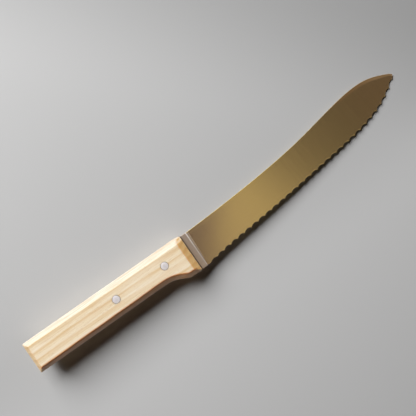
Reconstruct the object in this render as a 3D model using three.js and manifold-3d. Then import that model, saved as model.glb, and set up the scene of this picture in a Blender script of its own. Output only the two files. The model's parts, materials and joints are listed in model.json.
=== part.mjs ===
// Bread knife: a scalloped steel blade with a half tang, let into a saw slot in a
// one-piece beech handle and held by two flush two-part aluminium rivets.
//
// Frame (millimetres): the knife lies on its side. The origin is the middle of the
// handle's flat under side, half way along the handle and on its centre line. +X runs
// along the handle towards the tip of the blade, +Y towards the spine, +Z up out of the
// upper side of the handle. The pieces are drawn from the centre of the handle's front
// end, on the middle plane of the blade, and the whole knife is then set into the frame.

import * as THREE from 'three';
import { mergeVertices } from 'three/addons/utils/BufferGeometryUtils.js';
import { ParametricGeometry } from 'three/addons/geometries/ParametricGeometry.js';
import Module from 'manifold-3d';

// ---------------------------------------------------------------- driving dimensions

// Handle
const HANDLE_LENGTH = 139.0;        // butt to front end
const HANDLE_WIDTH = 25.0;          // spine side to belly side, along the grip
const HANDLE_THICK = 17.0;          // upper side to under side
const CHAMFER = 4.0;                // 45 degree chamfer round every long edge and both ends
const GUARD_DROP = 18.85;           // how far below the centre line the finger guard reaches
const FRONT_CORNER_DROP = 1.0;      // fall of the spine side towards the front end
const FRONT_CORNER_RUN = 5.0;       // length over which it falls

// Slot sawn in from the front end, for the half tang
const SLOT_END_X = -79.0;
const SLOT_THICK = 2.2;

// Blade and tang
const TANG_THICK = 2.0;
const TANG_END_X = -78.0;
const TANG_SPINE_Y = 11.9;          // the tang's edges sit just inside the handle's sides
const TANG_BELLY_Y = -11.9;
const RICASSO_LENGTH = 5.0;         // full-thickness steel in front of the handle
const PLUNGE_LENGTH = 1.6;          // run-out of the grind into the full thickness
const SPINE_THICK_HEEL = 1.8;
const SPINE_THICK_TIP = 1.1;
const EDGE_THICK = 0.25;
const GRIND_START = 0.62;           // thickness left where the edge grind starts, as a share
const SCALLOP_COUNT = 30;
const SCALLOP_DEPTH = 1.4;          // height of each circular bite over its chord
const SCALLOP_STEPS = 6;            // straight steps round one bite
const EDGE_GRIND = 4.0;             // width of the ground band along the cutting edge

// Rivets
const RIVET_X = [-21.3, -64.0];     // front, rear
const RIVET_Y = [-0.2, 0.1];
const RIVET_HEAD_R = 3.0;
const RIVET_HEAD_DEEP = 3.0;
const RIVET_SHANK_R = 2.0;
const RIVET_PIN_R = 1.3;
const RIVET_CLEAR = 0.1;            // radial clearance round heads and shanks
const ROUND = 36;                   // segments on round features

// Spine of the blade, from the handle to the tip
const SPINE = [
  [0, 11.12], [10, 11.3], [20, 11.65], [30, 12.09], [40, 12.6], [50, 13.17], [60, 13.82],
  [70, 14.55], [80, 15.38], [90, 16.34], [100, 17.45], [110, 18.76], [120, 20.3],
  [130, 22.05], [140, 23.94], [150, 25.84], [160, 27.6], [165, 28.35], [170, 28.97],
  [175, 29.42], [180, 29.66], [185, 29.6], [190, 29.05], [195, 28.0], [200, 26.4],
  [205, 24.4], [208.6, 22.7], [210.6, 21.4], [211.2, 20.1],
];

// Points of the teeth, from the heel to the tip
const CUSPS = [
  [8.6, -18.55], [15.4, -17.72], [22.1, -16.99], [28.9, -16.33], [35.7, -15.72],
  [42.5, -15.13], [49.3, -14.55], [56.2, -13.96], [63.0, -13.35], [69.9, -12.72],
  [76.7, -12.05], [83.6, -11.35], [90.4, -10.61], [97.3, -9.84], [104.1, -9.05],
  [110.9, -8.24], [117.7, -7.43], [124.5, -6.62], [131.3, -5.81], [138.0, -4.99],
  [144.7, -4.15], [151.4, -3.25], [158.0, -2.25], [164.6, -1.1], [171.1, 0.26],
  [177.5, 1.89], [183.9, 3.8], [190.3, 6.25], [196.5, 9.3], [202.7, 13.0], [209.1, 17.5],
];
const HEEL_BOTTOM = [0, -18.95];    // lower end of the straight heel

// ---------------------------------------------------------------- helpers

const wasm = await Module();
wasm.setup();

function toSolid(geometry) {
  const g = geometry.clone();
  g.deleteAttribute('normal');
  g.deleteAttribute('uv');
  const m = mergeVertices(g, 1e-4);
  const pos = m.getAttribute('position').array;
  const idx = m.getIndex().array;
  const tri = [];
  for (let i = 0; i < idx.length; i += 3) {
    const [a, b, c] = [idx[i], idx[i + 1], idx[i + 2]];
    if (a !== b && b !== c && c !== a) tri.push(a, b, c);
  }
  const solid = new wasm.Manifold(new wasm.Mesh({
    numProp: 3,
    vertProperties: new Float32Array(pos),
    triVerts: new Uint32Array(tri),
  }));
  if (solid.volume() < 0) throw new Error('inside out');
  return solid;
}

function toGeometry(solid) {
  const mesh = solid.getMesh();
  const g = new THREE.BufferGeometry();
  const n = mesh.numProp;
  const pos = new Float32Array((mesh.vertProperties.length / n) * 3);
  for (let i = 0; i < pos.length / 3; i++) {
    pos[3 * i] = mesh.vertProperties[n * i];
    pos[3 * i + 1] = mesh.vertProperties[n * i + 1];
    pos[3 * i + 2] = mesh.vertProperties[n * i + 2];
  }
  g.setAttribute('position', new THREE.BufferAttribute(pos, 3));
  g.setIndex(new THREE.BufferAttribute(new Uint32Array(mesh.triVerts), 1));
  g.computeVertexNormals();
  return g;
}

function mesh(name, geometry, material) {
  const m = new THREE.Mesh(geometry, material);
  m.name = name;
  return m;
}

const v2 = ([x, y]) => new THREE.Vector2(x, y);

// A flat plate with the given outline, centred on the middle plane
function plate(shape, thick, curveSegments = 12) {
  const g = new THREE.ExtrudeGeometry(shape, { depth: thick, bevelEnabled: false, curveSegments });
  g.translate(0, 0, -thick / 2);
  return g;
}

// A round bar along Z between two heights
function bar(r, z0, z1, x, y) {
  const g = new THREE.CylinderGeometry(r, r, z1 - z0, ROUND);
  g.rotateX(Math.PI / 2);
  g.translate(x, y, (z0 + z1) / 2);
  return g;
}

// ---------------------------------------------------------------- materials

const beech = new THREE.MeshStandardMaterial({ color: 0xe9cf9f, roughness: 0.5, metalness: 0.0 });
const steel = new THREE.MeshStandardMaterial({ color: 0xa8a093, roughness: 0.3, metalness: 1.0 });
const aluminium = new THREE.MeshStandardMaterial({ color: 0xc9c7cf, roughness: 0.35, metalness: 1.0 });

// ---------------------------------------------------------------- handle

// Outline of the handle seen from above: straight grip, swept finger guard at the front
const halfW = HANDLE_WIDTH / 2;
const handleOutline = new THREE.Shape();
handleOutline.moveTo(-HANDLE_LENGTH, -halfW);
handleOutline.lineTo(-31, -halfW);
handleOutline.bezierCurveTo(-24.5, -halfW, -21.5, -halfW - 0.7, -17.5, -halfW - 2.5);
handleOutline.bezierCurveTo(-13.5, -halfW - 4.4, -12.0, -GUARD_DROP, -7.0, -GUARD_DROP);
handleOutline.lineTo(0, -GUARD_DROP);
handleOutline.lineTo(0, halfW - FRONT_CORNER_DROP);
handleOutline.lineTo(-FRONT_CORNER_RUN, halfW);
handleOutline.lineTo(-HANDLE_LENGTH, halfW);

const handleBlank = new THREE.ExtrudeGeometry(handleOutline, {
  depth: HANDLE_THICK - 2 * CHAMFER,
  bevelEnabled: true,
  bevelThickness: CHAMFER,
  bevelSize: CHAMFER,
  bevelOffset: -CHAMFER,
  bevelSegments: 1,
  curveSegments: 10,
});
handleBlank.translate(0, 0, -(HANDLE_THICK - 2 * CHAMFER) / 2);

const slot = new THREE.BoxGeometry(-SLOT_END_X + 5, 60, SLOT_THICK);
slot.translate(SLOT_END_X + (-SLOT_END_X + 5) / 2, 0, 0);

const top = HANDLE_THICK / 2;
let handleSolid = toSolid(handleBlank).subtract(toSolid(slot));
for (let i = 0; i < 2; i++) {
  const [x, y] = [RIVET_X[i], RIVET_Y[i]];
  handleSolid = handleSolid
    .subtract(toSolid(bar(RIVET_SHANK_R + RIVET_CLEAR, -top - 1, top + 1, x, y)))
    .subtract(toSolid(bar(RIVET_HEAD_R + RIVET_CLEAR, top - RIVET_HEAD_DEEP - RIVET_CLEAR, top + 1, x, y)))
    .subtract(toSolid(bar(RIVET_HEAD_R + RIVET_CLEAR, -top - 1, -top + RIVET_HEAD_DEEP + RIVET_CLEAR, x, y)));
}

// ---------------------------------------------------------------- blade

const spineCurve = new THREE.SplineCurve(SPINE.map(v2));
const cuspCurve = new THREE.SplineCurve(CUSPS.map(v2));

// Points round the scalloped edge: each bite is an arc of a circle over its chord
function scallopPoints() {
  const out = [];
  for (let i = 0; i < SCALLOP_COUNT; i++) {
    const a = v2(CUSPS[i]);
    const b = v2(CUSPS[i + 1]);
    const chord = b.clone().sub(a);
    const c = chord.length();
    const along = chord.clone().normalize();
    const inward = new THREE.Vector2(-along.y, along.x);
    const depth = SCALLOP_DEPTH * Math.min(1, 0.55 + 0.15 * (i + 1));
    const r = (c * c / 4 + depth * depth) / (2 * depth);
    const half = Math.asin(c / 2 / r);
    for (let k = 0; k < SCALLOP_STEPS; k++) {
      const t = -half + (2 * half * k) / SCALLOP_STEPS;
      const s = c / 2 + r * Math.sin(t);
      const h = r * Math.cos(t) - (r - depth);
      out.push(a.clone().addScaledVector(along, s).addScaledVector(inward, Math.max(0, h)));
    }
  }
  out.push(v2(CUSPS[SCALLOP_COUNT]));
  return out;
}

// Point of the spine nearest above a given point of the edge, leaning forward to the tip
const spineX = SPINE.map((p) => p[0]);
function spineAt(x) {
  const last = SPINE.length - 1;
  if (x >= spineX[last]) return v2(SPINE[last]);
  let lo = 0;
  let hi = 1;
  for (let i = 0; i < 40; i++) {
    const mid = (lo + hi) / 2;
    if (spineCurve.getPoint(mid).x < x) lo = mid; else hi = mid;
  }
  return spineCurve.getPoint(lo);
}

const edge = scallopPoints();
const stations = [];
const plungeEnd = RICASSO_LENGTH + PLUNGE_LENGTH;
const heelLine = (x) => new THREE.Vector2(x, HEEL_BOTTOM[1] + (CUSPS[0][1] - HEEL_BOTTOM[1]) * (x / CUSPS[0][0]));
for (const x of [RICASSO_LENGTH - 1.0, RICASSO_LENGTH, plungeEnd]) {
  stations.push({ s: spineAt(x), e: heelLine(x), grind: x > RICASSO_LENGTH ? 1 : 0 });
}
const tipX = SPINE[SPINE.length - 1][0];
const edgeEndX = CUSPS[SCALLOP_COUNT][0];
for (const e of edge) {
  const f = (e.x - CUSPS[0][0]) / (edgeEndX - CUSPS[0][0]);
  const x = e.x + (tipX - edgeEndX) * f * f * f;
  stations.push({ s: spineAt(x), e, grind: 1 });
}

// Height of the upper or the lower face over the middle plane. The body tapers evenly
// from the spine. The scallops are ground from the lower side only: the upper side runs
// flat to the edge.
function faceHeight(station, dEdge, upper) {
  const sign = upper ? 1 : -1;
  if (station.grind === 0) return (sign * TANG_THICK) / 2;
  const f = Math.min(1, Math.max(0, station.s.x / tipX));
  const atSpine = (SPINE_THICK_HEEL + (SPINE_THICK_TIP - SPINE_THICK_HEEL) * f) / 2;
  const band = atSpine * GRIND_START;
  const total = station.s.distanceTo(station.e);
  const grindW = Math.min(EDGE_GRIND, total * 0.45);
  if (dEdge > grindW) return sign * (band + ((atSpine - band) * (dEdge - grindW)) / (total - grindW));
  if (upper) return band;
  return band - EDGE_THICK - (2 * band - EDGE_THICK) * (dEdge / grindW);
}

// Section of the blade as a closed loop: upper face from spine to edge, then back below
const ACROSS = [0, 0.5, 1, 2]; // 0 is the spine, 1 the start of the edge grind, 2 the edge
const LOOP = ACROSS.length * 2;
function loopPoint(i, j, target) {
  const st = stations[j];
  const total = st.s.distanceTo(st.e);
  const grindW = Math.min(EDGE_GRIND, total * 0.45);
  const upper = i < ACROSS.length;
  const k = upper ? i : LOOP - 1 - i;
  const a = ACROSS[k];
  const t = a <= 1 ? a * (1 - grindW / total) : 1;
  const p = st.s.clone().lerp(st.e, t);
  target.set(p.x, p.y, faceHeight(st, total * (1 - t), upper));
}

const bladeLoft = new ParametricGeometry((u, v, target) => {
  const i = Math.round(u * LOOP) % LOOP;
  const j = Math.round(v * (stations.length - 1));
  loopPoint(i, j, target);
}, LOOP, stations.length - 1);

// Closing faces at the heel and at the blunt tip
function endCap(j, flip) {
  const g = new THREE.BufferGeometry();
  const pos = [];
  const p = new THREE.Vector3();
  for (let i = 0; i < LOOP; i++) {
    loopPoint(i, j, p);
    pos.push(p.x, p.y, p.z);
  }
  const idx = [];
  for (let i = 0; i < ACROSS.length - 1; i++) {
    const a = i;
    const b = i + 1;
    const c = LOOP - 2 - i;
    const d = LOOP - 1 - i;
    if (flip) idx.push(a, c, b, a, d, c); else idx.push(a, b, c, a, c, d);
  }
  g.setAttribute('position', new THREE.Float32BufferAttribute(pos, 3));
  g.setIndex(idx);
  return g;
}

function joinParts(parts) {
  const pos = [];
  const idx = [];
  for (const g of parts) {
    const base = pos.length / 3;
    pos.push(...g.getAttribute('position').array);
    for (const k of g.getIndex().array) idx.push(base + k);
  }
  const out = new THREE.BufferGeometry();
  out.setAttribute('position', new THREE.Float32BufferAttribute(pos, 3));
  out.setIndex(idx);
  return out;
}

function signedVolume(g) {
  const p = g.getAttribute('position');
  const idx = g.getIndex().array;
  const a = new THREE.Vector3();
  const b = new THREE.Vector3();
  const c = new THREE.Vector3();
  let v = 0;
  for (let i = 0; i < idx.length; i += 3) {
    a.fromBufferAttribute(p, idx[i]);
    b.fromBufferAttribute(p, idx[i + 1]);
    c.fromBufferAttribute(p, idx[i + 2]);
    v += a.dot(b.cross(c)) / 6;
  }
  return v;
}

function turnOut(g) {
  if (signedVolume(g) > 0) return g;
  const idx = g.getIndex().array;
  for (let i = 0; i < idx.length; i += 3) [idx[i + 1], idx[i + 2]] = [idx[i + 2], idx[i + 1]];
  return g;
}

let loftSolid = null;
for (const flips of [[false, true], [true, false]]) {
  const g = turnOut(joinParts([bladeLoft, endCap(0, flips[0]), endCap(stations.length - 1, flips[1])]));
  try {
    const s = toSolid(g);
    if (s.volume() > 0) { loftSolid = s; break; }
  } catch (err) {
    loftSolid = null;
  }
}
if (!loftSolid) throw new Error('the blade did not close');

// Heel plate and half tang, one flat stamping with the blade
const tangOutline = new THREE.Shape();
const tangEndR = 4.0;
tangOutline.moveTo(TANG_END_X + tangEndR, TANG_BELLY_Y);
tangOutline.lineTo(-30, TANG_BELLY_Y);
tangOutline.bezierCurveTo(-24.0, TANG_BELLY_Y, -21.2, TANG_BELLY_Y - 0.7, -17.2, TANG_BELLY_Y - 2.5);
tangOutline.bezierCurveTo(-13.2, TANG_BELLY_Y - 4.4, -11.7, -GUARD_DROP + 0.4, -7.0, -GUARD_DROP + 0.4);
tangOutline.lineTo(-1.5, -GUARD_DROP + 0.4);
tangOutline.lineTo(HEEL_BOTTOM[0], HEEL_BOTTOM[1]);
tangOutline.lineTo(RICASSO_LENGTH - 0.5, heelLine(RICASSO_LENGTH - 0.5).y);
tangOutline.lineTo(RICASSO_LENGTH - 0.5, spineAt(RICASSO_LENGTH - 0.5).y);
tangOutline.lineTo(0.3, spineAt(0.3).y);
tangOutline.lineTo(-2.5, TANG_SPINE_Y);
tangOutline.lineTo(TANG_END_X + tangEndR, TANG_SPINE_Y);
tangOutline.quadraticCurveTo(TANG_END_X, TANG_SPINE_Y, TANG_END_X, TANG_SPINE_Y - tangEndR);
tangOutline.lineTo(TANG_END_X, TANG_BELLY_Y + tangEndR);
tangOutline.quadraticCurveTo(TANG_END_X, TANG_BELLY_Y, TANG_END_X + tangEndR, TANG_BELLY_Y);

let bladeSolid = loftSolid.add(toSolid(plate(tangOutline, TANG_THICK, 8)));
for (let i = 0; i < 2; i++) {
  bladeSolid = bladeSolid.subtract(
    toSolid(bar(RIVET_SHANK_R + RIVET_CLEAR, -3, 3, RIVET_X[i], RIVET_Y[i])));
}

// ---------------------------------------------------------------- rivets

// Female half: flush head on the upper side, hollow shank reaching through the tang
function femaleRivet(x, y) {
  const bore = RIVET_PIN_R + RIVET_CLEAR;
  const profile = [
    [0, 4.6], [bore, 4.6], [bore, -4.0], [RIVET_SHANK_R, -4.0],
    [RIVET_SHANK_R, top - RIVET_HEAD_DEEP], [RIVET_HEAD_R, top - RIVET_HEAD_DEEP],
    [RIVET_HEAD_R, top], [0, top],
  ].map(v2);
  const g = new THREE.LatheGeometry(profile, ROUND);
  g.rotateX(Math.PI / 2);
  g.translate(x, y, 0);
  return toGeometry(toSolid(turnOut(g)));
}

// Male half: flush head on the under side, solid pin pressed up inside the hollow shank
function maleRivet(x, y) {
  const profile = [
    [0, -top], [RIVET_HEAD_R, -top], [RIVET_HEAD_R, -top + RIVET_HEAD_DEEP],
    [RIVET_PIN_R, -top + RIVET_HEAD_DEEP], [RIVET_PIN_R, 4.0], [0, 4.0],
  ].map(v2);
  const g = new THREE.LatheGeometry(profile, ROUND);
  g.rotateX(Math.PI / 2);
  g.translate(x, y, 0);
  return toGeometry(toSolid(turnOut(g)));
}

// ---------------------------------------------------------------- the knife

const knife = new THREE.Group();
knife.add(mesh('blade', toGeometry(bladeSolid), steel));
knife.add(mesh('handle', toGeometry(handleSolid), beech));
knife.add(mesh('rivet_front_female', femaleRivet(RIVET_X[0], RIVET_Y[0]), aluminium));
knife.add(mesh('rivet_front_male', maleRivet(RIVET_X[0], RIVET_Y[0]), aluminium.clone()));
knife.add(mesh('rivet_rear_female', femaleRivet(RIVET_X[1], RIVET_Y[1]), aluminium.clone()));
knife.add(mesh('rivet_rear_male', maleRivet(RIVET_X[1], RIVET_Y[1]), aluminium.clone()));

knife.position.set(HANDLE_LENGTH / 2, 0, HANDLE_THICK / 2);

export default knife;
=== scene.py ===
"""Bread knife: the looks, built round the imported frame. Lengths in the mesh code are millimetres."""
import json
import math

import bmesh
import bpy
import numpy as np
from mathutils import Matrix, Vector

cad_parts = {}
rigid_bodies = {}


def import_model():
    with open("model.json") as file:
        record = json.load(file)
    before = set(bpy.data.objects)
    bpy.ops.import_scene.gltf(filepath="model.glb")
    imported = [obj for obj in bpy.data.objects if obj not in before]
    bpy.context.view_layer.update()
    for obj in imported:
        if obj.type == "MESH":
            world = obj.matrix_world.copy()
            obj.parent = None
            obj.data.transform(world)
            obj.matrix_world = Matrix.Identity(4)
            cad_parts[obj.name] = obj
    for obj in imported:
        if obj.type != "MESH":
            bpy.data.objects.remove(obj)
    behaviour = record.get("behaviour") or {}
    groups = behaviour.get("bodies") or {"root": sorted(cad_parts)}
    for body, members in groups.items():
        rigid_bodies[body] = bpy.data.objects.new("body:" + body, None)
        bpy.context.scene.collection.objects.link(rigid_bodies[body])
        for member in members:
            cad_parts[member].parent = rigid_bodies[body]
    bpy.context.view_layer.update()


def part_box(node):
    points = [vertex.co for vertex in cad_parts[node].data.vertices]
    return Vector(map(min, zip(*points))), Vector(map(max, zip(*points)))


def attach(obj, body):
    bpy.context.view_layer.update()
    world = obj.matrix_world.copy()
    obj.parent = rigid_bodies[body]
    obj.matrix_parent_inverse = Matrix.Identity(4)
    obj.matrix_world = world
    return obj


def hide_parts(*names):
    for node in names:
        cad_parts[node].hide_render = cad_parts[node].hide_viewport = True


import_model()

# ------------------------------------------------------------------ frame positions

h_lo, h_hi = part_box("handle")
b_lo, b_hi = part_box("blade")
FX = h_hi.x * 1000.0                        # front end of the handle
ZM = (h_lo.z + h_hi.z) * 500.0              # middle plane of the blade
LEN = (h_hi.x - h_lo.x) * 1000.0            # handle length
HALF_T = (h_hi.z - h_lo.z) * 500.0          # half the handle's thickness
HALF_W = h_hi.y * 1000.0                    # half the grip's width
GUARD = -h_lo.y * 1000.0                    # reach of the finger guard
TANG_X = (b_lo.x - h_hi.x) * 1000.0         # end of the half tang
TIP_X = (b_hi.x - h_hi.x) * 1000.0          # tip of the blade


def rivet_place(node):
    lo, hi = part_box(node)
    return ((lo.x + hi.x) * 500.0 - FX, (lo.y + hi.y) * 500.0, (hi.x - lo.x) * 500.0)


RIVETS = [rivet_place("rivet_front_female"), rivet_place("rivet_rear_female")]
HEAD_R = RIVETS[0][2]
HEAD_DEEP = 3.0
SHANK_R, PIN_R = 2.0, 1.3
SLOT_Z = 1.04


def to_row(p):
    """design millimetres (from the handle's front end, on the blade's middle plane) to row metres"""
    p = np.asarray(p, float).reshape(-1, 3)
    return (p + np.array([FX, 0.0, ZM])) / 1000.0


# ------------------------------------------------------------------ mesh helpers

def make_object(name, verts_mm, faces):
    me = bpy.data.meshes.new(name)
    me.from_pydata([tuple(v) for v in to_row(verts_mm)], [], faces)
    me.validate()
    ob = bpy.data.objects.new(name, me)
    bpy.context.scene.collection.objects.link(ob)
    return ob


def tidy(ob, angle=28.0, merge=1e-7):
    bm = bmesh.new()
    bm.from_mesh(ob.data)
    bmesh.ops.remove_doubles(bm, verts=bm.verts, dist=merge)
    bmesh.ops.dissolve_degenerate(bm, edges=bm.edges, dist=merge)
    loose = [v for v in bm.verts if not v.link_faces]
    if loose:
        bmesh.ops.delete(bm, geom=loose, context="VERTS")
    bmesh.ops.recalc_face_normals(bm, faces=bm.faces)
    bm.to_mesh(ob.data)
    bm.free()
    me = ob.data
    me.shade_smooth()
    me.set_sharp_from_angle(angle=math.radians(angle))
    return ob


def cut(ob, cutter):
    """takes cutter out of ob, and applies it"""
    m = ob.modifiers.new("cut", "BOOLEAN")
    m.operation = "DIFFERENCE"
    m.solver = "EXACT"
    m.object = cutter
    bpy.context.view_layer.update()
    dg = bpy.context.evaluated_depsgraph_get()
    new = bpy.data.meshes.new_from_object(ob.evaluated_get(dg), depsgraph=dg)
    ob.modifiers.remove(m)
    old = ob.data
    ob.data = new
    new.name = ob.name
    bpy.data.meshes.remove(old)
    bpy.data.objects.remove(cutter)
    return ob


def loft(loops, close=True):
    """faces joining equal closed loops, with a fan at each end"""
    n = len(loops[0])
    verts = np.concatenate(loops)
    faces = []
    for i in range(len(loops) - 1):
        a, b = i * n, (i + 1) * n
        for j in range(n):
            k = (j + 1) % n
            faces.append((a + j, a + k, b + k, b + j))
    if close:
        faces.append(tuple(range(n - 1, -1, -1)))
        last = (len(loops) - 1) * n
        faces.append(tuple(range(last, last + n)))
    return verts, faces


def lathe(profile, cx, cy, segments=72):
    """closed body of revolution about Z; profile is (r, z) from the axis round to the axis"""
    verts, faces, rings = [], [], []
    for r, z in profile:
        if r < 1e-9:
            rings.append([len(verts)])
            verts.append((cx, cy, z))
        else:
            ring = []
            for s in range(segments):
                t = 2 * math.pi * s / segments
                ring.append(len(verts))
                verts.append((cx + r * math.cos(t), cy + r * math.sin(t), z))
            rings.append(ring)
    for a, b in zip(rings[:-1], rings[1:]):
        if len(a) == 1 and len(b) == 1:
            continue
        for s in range(segments):
            t = (s + 1) % segments
            if len(a) == 1:
                faces.append((a[0], b[t], b[s]))
            elif len(b) == 1:
                faces.append((a[s], a[t], b[0]))
            else:
                faces.append((a[s], a[t], b[t], b[s]))
    return np.array(verts), faces


def smin(a, b, k):
    h = np.clip(0.5 + 0.5 * (b - a) / k, 0, 1)
    return b * (1 - h) + a * h - k * h * (1 - h)


def smoothstep(a, b, x):
    t = np.clip((x - a) / (b - a), 0, 1)
    return t * t * (3 - 2 * t)


def bezier(p0, p1, p2, p3, n):
    t = np.linspace(0, 1, n)[:, None]
    p0, p1, p2, p3 = map(np.array, (p0, p1, p2, p3))
    return (1 - t) ** 3 * p0 + 3 * (1 - t) ** 2 * t * p1 + 3 * (1 - t) * t * t * p2 + t ** 3 * p3


def spline(points, n_per=40):
    """Catmull-Rom through points, as a dense polyline"""
    p = np.array(points, float)
    p = np.vstack([2 * p[0] - p[1], p, 2 * p[-1] - p[-2]])
    out = []
    for i in range(1, len(p) - 2):
        t = np.linspace(0, 1, n_per, endpoint=False)[:, None]
        a, b, c, d = p[i - 1], p[i], p[i + 1], p[i + 2]
        out.append(0.5 * ((2 * b) + (c - a) * t + (2 * a - 5 * b + 4 * c - d) * t ** 2 + (3 * b - 3 * c + d - a) * t ** 3))
    out.append(p[-2][None])
    return np.concatenate(out)


# ------------------------------------------------------------------ handle

W = HALF_W
guard_curve = np.concatenate([
    bezier((-31, -W), (-24.5, -W), (-21.5, -W - 0.7), (-17.5, -W - 2.5), 60)[:-1],
    bezier((-17.5, -W - 2.5), (-13.5, -W - 4.4), (-12.0, -GUARD), (-7.0, -GUARD), 60),
])
belly_poly = np.concatenate([[(-LEN - 20, -W)], guard_curve, [(20, -GUARD)]])


def belly_y(x):
    return np.interp(x, belly_poly[:, 0], belly_poly[:, 1])


def spine_y(x):
    return W - 0.9 * np.clip((x + 7.0) / 7.0, 0, None) ** 2


dense_belly = np.stack([np.linspace(-40, 4, 700), belly_y(np.linspace(-40, 4, 700))], 1)


def belly_distance(x, y):
    """true distance to the belly outline, which sweeps at the guard"""
    d = y - belly_y(x)
    near = x > -36
    if near.any():
        px, py = x[near], y[near]
        best = np.full(px.shape, 1e9)
        for s in range(0, len(dense_belly), 70):
            q = dense_belly[s:s + 70]
            best = np.minimum(best, np.hypot(px[:, None] - q[:, 0], py[:, None] - q[:, 1]).min(1))
        d[near] = np.where(d[near] > 0, best, 0)
    return d


def chamfer(d, w, drop, r):
    """height of a chamfer of width w and depth drop at distance d in from its wall, with a round of radius r at the wall"""
    plane = HALF_T - drop + drop * d / w
    zc = HALF_T - drop - 0.414 * r
    rounded = zc + np.sqrt(np.clip(r * r - np.clip(r - d, 0, r) ** 2, 0, None))
    return np.where(d < 0.293 * r, rounded, plane)


EDGE_R = 1.1
CORNER_R = 0.9
FRONT_W, FRONT_DROP = 4.75, 3.8


def widths(x):
    """chamfer widths at the spine and at the belly: they grow a little from the butt to the front"""
    f = np.clip((x + LEN) / (LEN - 25.0), 0, 1)
    wob = 0.06 * np.sin(x * 0.21 + 0.6) + 0.04 * np.sin(x * 0.083)
    return 3.35 + 0.85 * f + wob, 3.3 + 0.65 * f - wob


def handle_outline(x):
    """spine and belly sides at x, with the upright corners eased at both ends"""
    db, df = x + LEN, -x
    ease = CORNER_R - np.sqrt(np.clip(CORNER_R ** 2 - np.clip(CORNER_R - db, 0, CORNER_R) ** 2, 0, None))
    rf = 1.1
    ease_f = rf - np.sqrt(np.clip(rf ** 2 - np.clip(rf - df, 0, rf) ** 2, 0, None))
    return spine_y(x) - ease - ease_f, belly_y(x) + ease + 0.6 * ease_f


def handle_top(x, y):
    """height of the handle's upper side over the middle plane"""
    sp, _ = handle_outline(x)
    w_sp, w_be = widths(x)
    z_sp = chamfer(np.clip(sp - y, 0, None), w_sp, 4.0, EDGE_R)
    z_be = chamfer(np.clip(belly_distance(x, y), 0, None), w_be, 4.0, EDGE_R)
    z_butt = chamfer(x + LEN, 3.9, 3.9, EDGE_R)
    # the front bevel is sanded round a little at the spine corner
    turn = 1.38 * smoothstep(7.7, 10.2, y) * (1 - np.exp(np.clip(x, -60, 0) / 1.1))
    z_front = chamfer(np.clip(-x, 0, None), FRONT_W, FRONT_DROP, EDGE_R) - turn
    z = np.full(x.shape, HALF_T)
    for f, k in ((z_sp, 0.75), (z_be, 0.75), (z_butt, 0.7), (z_front, 0.7)):
        z = smin(z, f, k)
    return z


def handle_mesh():
    near = np.array([0, .008, .03, .07, .13, .21, .3, .42, .6, .85, 1.2, 1.6, 2.1, 2.6, 3.0, 3.3, 3.6, 3.85, 4.1, 4.35, 4.65, 5.0, 5.6, 6.6])
    xs = list(-LEN + near)
    xs += list(np.arange(-LEN + 8.5, -34, 2.5))
    xs += list(np.arange(-33.0, -6.9, 0.55))
    xs += list(-near[::-1])
    xs = np.array(sorted(set(np.round(xs, 4))))
    off = np.array([0, .008, .03, .07, .13, .21, .3, .42, .65, .95, 1.4, 1.9, 2.4, 2.8, 3.05, 3.3, 3.5, 3.7, 3.9, 4.1, 4.3, 4.55, 4.9, 5.5])
    mid = np.linspace(0, 1, 12)[1:-1]
    wall = np.linspace(1, -1, 9)[1:-1]
    loops = []
    for x in xs:
        sp, be = handle_outline(np.array([x]))
        sp, be = float(sp[0]), float(be[0])
        slope = float((belly_y(x + 0.01) - belly_y(x - 0.01)) / 0.02)
        stretch = math.sqrt(1 + slope * slope)
        a = sp - off
        b = be + off * stretch
        ys = np.concatenate([a, a[-1] + (b[-1] - a[-1]) * mid, b[::-1]])
        z = handle_top(np.full(ys.shape, x), ys)
        top = np.stack([np.full(ys.shape, x), ys, z], 1)
        w1 = np.stack([np.full(wall.shape, x), np.full(wall.shape, ys[-1]), z[-1] * wall], 1)
        bottom = top[::-1] * np.array([1, 1, -1])
        w2 = np.stack([np.full(wall.shape, x), np.full(wall.shape, ys[0]), -z[0] * wall], 1)
        loops.append(np.concatenate([top, w1, bottom, w2]))
    return loft(loops)


handle = make_object("knife_handle", *handle_mesh())
tidy(handle)

# the saw slot for the tang, open at the front and at both narrow sides
sx0, sx1 = TANG_X - 0.8, 4.0
sv = [(x, y, z) for x in (sx0, sx1) for y in (-26, 26) for z in (-SLOT_Z, SLOT_Z)]
sf = [(0, 1, 3, 2), (4, 6, 7, 5), (0, 4, 5, 1), (2, 3, 7, 6), (0, 2, 6, 4), (1, 5, 7, 3)]
cut(handle, make_object("slot_cut", np.array(sv, float), sf))
for n, (rx, ry, rr) in enumerate(RIVETS):
    g = 0.07
    T = HALF_T
    v, f = lathe([(0, -T - 1), (rr + g + 0.12, -T - 1), (rr + g + 0.12, -T - 0.001), (rr + g, -T + 0.16), (rr + g, -T + HEAD_DEEP + g), (SHANK_R + g, -T + HEAD_DEEP + g),
                  (SHANK_R + g, T - HEAD_DEEP - g), (rr + g, T - HEAD_DEEP - g), (rr + g, T - 0.16), (rr + g + 0.12, T + 0.001), (rr + g + 0.12, T + 1), (0, T + 1)], rx, ry, 80)
    cut(handle, make_object(f"rivet_cut_{n}", v, f))
tidy(handle, 30.0)
# the cuts leave many-sided faces with points in line on their sides: they are made triangles, and the
# flat ones are closed up
bm = bmesh.new()
bm.from_mesh(handle.data)
bmesh.ops.triangulate(bm, faces=[f for f in bm.faces if len(f.verts) > 4], quad_method="BEAUTY", ngon_method="BEAUTY")
bmesh.ops.dissolve_degenerate(bm, edges=bm.edges, dist=2e-6)
bm.to_mesh(handle.data)
bm.free()
tidy(handle, 30.0)

# ------------------------------------------------------------------ blade

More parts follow.
